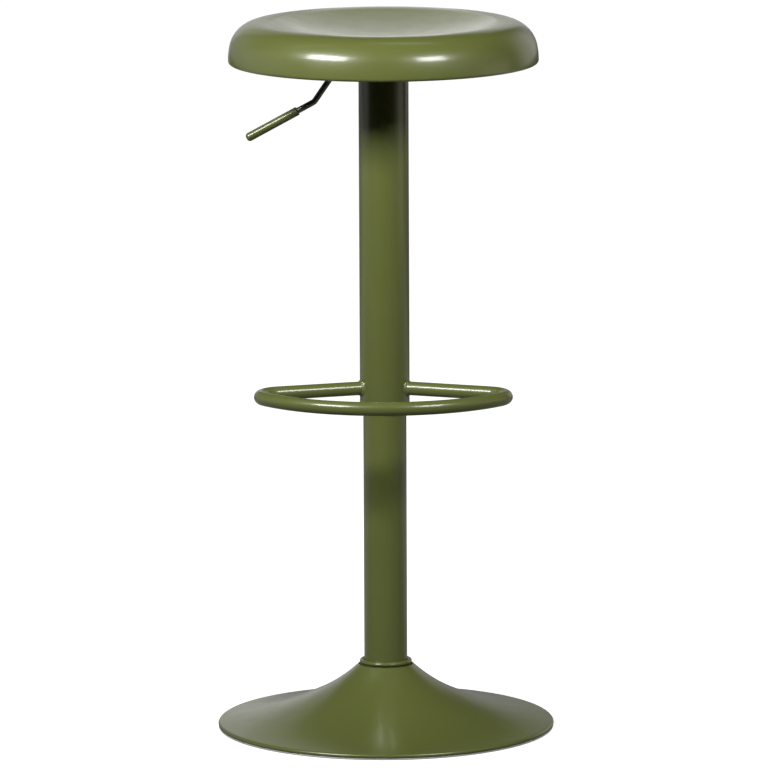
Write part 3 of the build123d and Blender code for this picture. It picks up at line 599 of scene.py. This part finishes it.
def grey(level):
    return (level, level, level, 1)


# 1 for rays from the camera, straight or through glass
def seenDirectly(tree, path):
    return addMath(tree, "MAXIMUM", path.outputs["Is Camera Ray"], path.outputs["Is Transmission Ray"])


# floor: sizes in metres; the glow grows with the distance from the stool, and mirror gives the
# strip that reflections see: in front of the stool, behind it from near, and past far
floorDims = {"across": 5.0, "front": -1.6, "back": 9.0, "drop": 0.0002, "shade": 0.9,
             "bounce": 0.10, "glowNear": 0.62, "reach": 1.1, "mirror": (0.12, 0.28, 0.04),
             "near": (0.05, 0.40), "far": (1.3, 2.2)}


# white to the camera with the stool's shadow kept, a strip to reflections, and dim to other light,
# so that little comes back up
def floorFinish(d):
    mat = bpy.data.materials.new("paleFloor")
    mat.use_nodes = True
    tree = mat.node_tree
    tree.nodes.remove(tree.nodes["Principled BSDF"])
    path = tree.nodes.new("ShaderNodeLightPath")
    coords = tree.nodes.new("ShaderNodeTexCoord").outputs["Object"]
    length = tree.nodes.new("ShaderNodeVectorMath")
    length.operation = "LENGTH"
    fade = addNode(tree, "ShaderNodeMapRange", From_Max=d["reach"], To_Min=d["glowNear"], To_Max=1.0)
    glow = tree.nodes.new("ShaderNodeEmission")
    tree.links.new(coords, length.inputs[0])
    tree.links.new(length.outputs["Value"], fade.inputs["Value"])
    tree.links.new(fade.outputs["Result"], glow.inputs["Strength"])
    shade = addNode(tree, "ShaderNodeBsdfDiffuse", Color=grey(d["shade"]))
    dim = addNode(tree, "ShaderNodeBsdfDiffuse", Color=grey(d["bounce"]))
    seen = addShaders(tree, glow.outputs["Emission"], shade.outputs["BSDF"])
    plain = mixShaders(tree, seenDirectly(tree, path), dim.outputs["BSDF"], seen)
    front, behind, far = d["mirror"]
    split = tree.nodes.new("ShaderNodeSeparateXYZ")
    tree.links.new(coords, split.inputs["Vector"])
    rise = smoothStep(tree, split.outputs["Y"], d["near"], (front, behind))
    fall = smoothStep(tree, split.outputs["Y"], d["far"], (1.0, far / behind))
    mirror = tree.nodes.new("ShaderNodeEmission")
    tree.links.new(addMath(tree, "MULTIPLY", rise, fall), mirror.inputs["Strength"])
    whole = mixShaders(tree, path.outputs["Is Glossy Ray"], plain, mirror.outputs["Emission"])
    tree.links.new(whole, tree.nodes["Material Output"].inputs["Surface"])
    return mat


across, front, back = floorDims["across"], floorDims["front"], floorDims["back"]
floorPlan = [(-across, front), (across, front), (across, back), (-across, back)]
floorMesh = bpy.data.meshes.new("studioFloor")
floorMesh.from_pydata([(x, y, -floorDims["drop"]) for x, y in floorPlan], [], [(0, 1, 2, 3)])
floorMesh.materials.append(floorFinish(floorDims))
floor = bpy.data.objects.new("studioFloor", floorMesh)
sceneNow.collection.objects.link(floor)

# lobes of pale light round the stool: turn from the camera's side and lift in degrees,
# inner and outer half angle
studioLobes = {
    "left": {"turn": -98, "lift": 0, "inner": 12, "outer": 34, "strength": 0.36},
    "right": {"turn": 80, "lift": 0, "inner": 12, "outer": 34, "strength": 0.20},
    "backLeft": {"turn": -142, "lift": 6, "inner": 8, "outer": 30, "strength": 0.26},
    "backRight": {"turn": 142, "lift": 6, "inner": 8, "outer": 30, "strength": 0.54,
                  "tint": (1, 0.97, 0.92)},
    "back": {"turn": 180, "lift": 7, "inner": 6, "outer": 19, "strength": 0.27},
}


# unit vector from the stool toward a turn and lift, both counted from the camera's side
def toward(turn, lift):
    t = turn + viewDims["turn"]
    return Vector((sinDeg(t) * cosDeg(lift), -cosDeg(t) * cosDeg(lift), sinDeg(lift)))


# world: white to the camera and through glass; to all else the lobes, each a smooth step of the
# cosine of the angle from its middle
def studioWorld(lobes):
    world = bpy.data.worlds.new("studio")
    sceneNow.world = world
    world.use_nodes = True
    tree = world.node_tree
    tree.nodes.clear()
    out = tree.nodes.new("ShaderNodeOutputWorld")
    coords = tree.nodes.new("ShaderNodeTexCoord").outputs["Generated"]
    path = tree.nodes.new("ShaderNodeLightPath")
    white = addNode(tree, "ShaderNodeBackground", Color=grey(1))
    room = addNode(tree, "ShaderNodeBackground", Color=grey(0)).outputs["Background"]
    for d in lobes.values():
        dot = tree.nodes.new("ShaderNodeVectorMath")
        dot.operation = "DOT_PRODUCT"
        dot.inputs[1].default_value = toward(d["turn"], d["lift"])
        tree.links.new(coords, dot.inputs[0])
        edge = (cosDeg(d["outer"]), cosDeg(d["inner"]))
        strength = smoothStep(tree, dot.outputs["Value"], edge, (0.0, d["strength"]))
        glow = addNode(tree, "ShaderNodeBackground", Color=(*d.get("tint", (1, 1, 1)), 1))
        tree.links.new(strength, glow.inputs["Strength"])
        room = addShaders(tree, room, glow.outputs["Background"])
    whole = mixShaders(tree, seenDirectly(tree, path), room, white.outputs["Background"])
    tree.links.new(whole, out.inputs["Surface"])


studioWorld(studioLobes)

# lamps: turn, lift and distance from a point at the aim height on the column, size in metres,
# power in watts; only names the pieces that a card lights, where that isn't all of them;
# above the overhead lift a lamp's width runs along x
lampBase = {"aim": 0.8, "tint": (1, 1, 1), "only": (), "overhead": 50.0}
lightDims = {
    "leftBox": {"turn": -44.5, "lift": 30.0, "distance": 1.95, "size": (0.89, 0.46), "power": 38.0},
    "rightBox": {"turn": 37.0, "lift": 27.5, "distance": 1.95, "size": (0.62, 0.46), "power": 19.0},
    "leftStrip": {"turn": -97.0, "lift": 57.0, "distance": 2.3, "size": (1.0, 0.10), "power": 0.5},
    "rightStrip": {"turn": 140.0, "lift": 78.0, "distance": 2.0, "size": (0.8, 0.08), "power": 0.8},
    "lowCard": {"turn": -164.0, "lift": 15.5, "distance": 1.35, "size": (0.48, 0.78), "power": 0.37,
                "aim": 0.04},
    "warmCard": {"turn": 84.0, "lift": 0.0, "distance": 0.95, "size": (0.5, 0.42), "power": 0.24,
                 "aim": 0.62, "tint": (1, 0.82, 0.56)},
    "dishCard": {"turn": -174.0, "lift": 19.0, "distance": 0.60, "size": (0.66, 0.42), "power": 0.26,
                 "only": ["seatPressing"]},
    "dishCore": {"turn": 179.0, "lift": 19.0, "distance": 0.60, "size": (0.15, 0.42), "power": 0.10,
                 "only": ["seatPressing"]},
}


# area lamp on a direction from its aim point, turned to face it with its width level
def softbox(name, d):
    lamp = bpy.data.lights.new(name, "AREA")
    lamp.shape = "RECTANGLE"
    lamp.size, lamp.size_y = d["size"]
    lamp.energy = d["power"]
    lamp.color = d["tint"]
    obj = bpy.data.objects.new(name, lamp)
    sceneNow.collection.objects.link(obj)
    away = toward(d["turn"], d["lift"])
    width = Vector((1, 0, 0)) if d["lift"] > d["overhead"] else Vector((0, 0, 1)).cross(away)
    width = (width - away * width.dot(away)).normalized()
    facing = Matrix((width, away.cross(width), away)).transposed()
    spot = Vector((0, 0, d["aim"])) + away * d["distance"]
    obj.matrix_world = Matrix.Translation(spot) @ facing.to_4x4()
    obj.visible_camera = False
    if d["only"]:
        flagged = bpy.data.collections.new(name + "Sees")
        for piece in d["only"]:
            flagged.objects.link(bpy.data.objects[piece])
        obj.light_linking.receiver_collection = flagged


for lampName, lampDims in lightDims.items():
    softbox(lampName, {**lampBase, **lampDims})

camData = bpy.data.cameras.new("camera")
camData.sensor_width = viewDims["sensor"]
camData.lens = viewDims["focal"] * viewDims["sensor"] / viewDims["picture"]
camData.clip_end = viewDims["clip"]
cam = bpy.data.objects.new("camera", camData)
sceneNow.collection.objects.link(cam)
sceneNow.camera = cam
t, p, roll = (radians(viewDims[angle]) for angle in ("turn", "pitch", "roll"))
right = Vector((cos(t), sin(t), 0))
ahead = Vector((-sin(t) * cos(p), cos(t) * cos(p), -sin(p)))
upright = right.cross(ahead)
camRight = right * cos(roll) - upright * sin(roll)
camUp = right * sin(roll) + upright * cos(roll)
camPlace = toward(0, 0) * viewDims["distance"] + right * viewDims["side"]
camPlace.z = viewDims["height"]
camTurn = Matrix((camRight, camUp, -ahead)).transposed()
cam.matrix_world = Matrix.Translation(camPlace) @ camTurn.to_4x4()
print("studio set")
